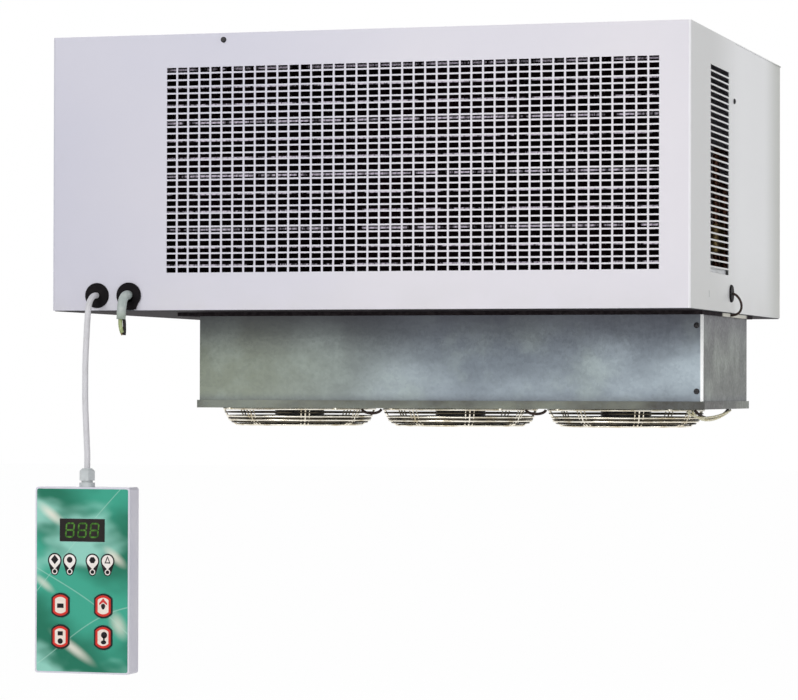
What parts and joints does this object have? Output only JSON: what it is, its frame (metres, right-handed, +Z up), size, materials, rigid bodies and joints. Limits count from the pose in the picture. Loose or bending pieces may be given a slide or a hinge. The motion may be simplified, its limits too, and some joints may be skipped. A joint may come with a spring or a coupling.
{
  "type": "monoblock refrigeration unit",
  "caption": "Ceiling monoblock refrigeration unit: slotted housing, condenser and compressor above, sleeve through the ceiling, fans below, hand controller on a cable.",
  "frame": {"origin": "centre of the four fixing holes, on the underside of the base tray, which rests on the ceiling of the cold room", "axes": "+Z up, +X to the right as seen from the front, the slotted front faces -Y"},
  "size_m": [0.9369, 0.7463, 0.895],
  "materials": {
    "painted_sheet": "satin light grey lilac paint",
    "galvanised": "galvanised sheet with a blotchy spangle",
    "foam": "matt closed cell foam",
    "fins": "dusty aluminium fins",
    "bright_fins": "clean aluminium fins",
    "copper": "copper tube",
    "brass": "turned brass",
    "black_plastic": "moulded black plastic",
    "motor_paint": "black enamel",
    "black_rubber": "soft black rubber",
    "cable_sheath": "light grey sheath",
    "supply_sheath": "grey sheath over coloured cores",
    "lead": "thin dark lead",
    "insulation": "white insulated moulding",
    "heater": "steel sheathed heater",
    "guard_wire": "bright plated wire",
    "case": "off white moulding",
    "gland": "light grey nylon",
    "overlay": "green printed film",
    "board": "circuit board",
    "key": "cream key"
  },
  "bodies": {
    "unit": {"base_tray": "galvanised", "front_cover": "painted_sheet", "rear_cover": "painted_sheet", "top_cover": "painted_sheet", "panel_screws": "painted_sheet", "ceiling_gasket": "foam", "condenser_fins": "fins", "condenser_tubes": "copper", "condenser_end_plates": "galvanised", "fan_shroud": "galvanised", "condenser_motor_left": "motor_paint", "condenser_motor_right": "motor_paint", "compressor_shell": "motor_paint", "compressor_mounts": "black_rubber", "compressor_terminal_cover": "black_plastic", "liquid_receiver": "motor_paint", "filter_drier": "brass", "expansion_valve": "brass", "pressure_switch": "black_plastic", "discharge_pipe": "copper", "suction_pipe": "copper", "condensate_pipe": "copper", "liquid_pipe": "copper", "electrical_box": "galvanised", "electrical_box_lid": "galvanised", "control_cable_grommet": "black_rubber", "supply_cable_grommet": "black_rubber", "side_lead_grommet": "black_rubber", "control_cable": "cable_sheath", "supply_cable": "supply_sheath", "side_lead": "lead", "evaporator_lid": "insulation", "ceiling_sleeve": "galvanised", "sleeve_flange": "galvanised", "fan_plate": "galvanised", "evaporator_fins": "bright_fins", "evaporator_tubes": "copper", "evaporator_end_plates": "galvanised", "defrost_heater": "heater", "drip_tray": "insulation", "evaporator_motors": "motor_paint", "fan_guard_left": "guard_wire", "fan_guard_middle": "guard_wire", "fan_guard_right": "guard_wire", "fan_leads": "lead", "cable_gland": "gland", "controller_front": "case", "controller_back": "case", "keypad_overlay": "overlay", "display_window": "black_plastic", "circuit_board": "board"},
    "condenser_fan_left": {"condenser_fan_left": "black_plastic"},
    "condenser_fan_right": {"condenser_fan_right": "black_plastic"},
    "evaporator_fan_left": {"evaporator_fan_left": "black_plastic"},
    "evaporator_fan_middle": {"evaporator_fan_middle": "black_plastic"},
    "evaporator_fan_right": {"evaporator_fan_right": "black_plastic"},
    "key_upper_left": {"key_upper_left": "key"},
    "key_upper_right": {"key_upper_right": "key"},
    "key_lower_left": {"key_lower_left": "key"},
    "key_lower_right": {"key_lower_right": "key"}
  },
  "joints": [
    {"name": "condenser_fan_left_spin", "type": "hinge", "parent": "unit", "child": "condenser_fan_left", "pos_m": [-0.112, -0.225, 0.194], "axis": [0, 1, 0], "continuous": true},
    {"name": "condenser_fan_right_spin", "type": "hinge", "parent": "unit", "child": "condenser_fan_right", "pos_m": [0.24, -0.225, 0.194], "axis": [0, 1, 0], "continuous": true},
    {"name": "evaporator_fan_left_spin", "type": "hinge", "parent": "unit", "child": "evaporator_fan_left", "pos_m": [-0.1715, -0.099, -0.12], "axis": [0, 0, 1], "continuous": true},
    {"name": "evaporator_fan_middle_spin", "type": "hinge", "parent": "unit", "child": "evaporator_fan_middle", "pos_m": [0.0725, -0.099, -0.12], "axis": [0, 0, 1], "continuous": true},
    {"name": "evaporator_fan_right_spin", "type": "hinge", "parent": "unit", "child": "evaporator_fan_right", "pos_m": [0.3165, -0.099, -0.12], "axis": [0, 0, 1], "continuous": true},
    {"name": "key_upper_left_press", "type": "slide", "parent": "unit", "child": "key_upper_left", "axis": [0, 1, 0], "range_m": [0, 0.0008], "stiffness_N_per_m": 500},
    {"name": "key_upper_right_press", "type": "slide", "parent": "unit", "child": "key_upper_right", "axis": [0, 1, 0], "range_m": [0, 0.0008], "stiffness_N_per_m": 500},
    {"name": "key_lower_left_press", "type": "slide", "parent": "unit", "child": "key_lower_left", "axis": [0, 1, 0], "range_m": [0, 0.0008], "stiffness_N_per_m": 500},
    {"name": "key_lower_right_press", "type": "slide", "parent": "unit", "child": "key_lower_right", "axis": [0, 1, 0], "range_m": [0, 0.0008], "stiffness_N_per_m": 500}
  ]
}
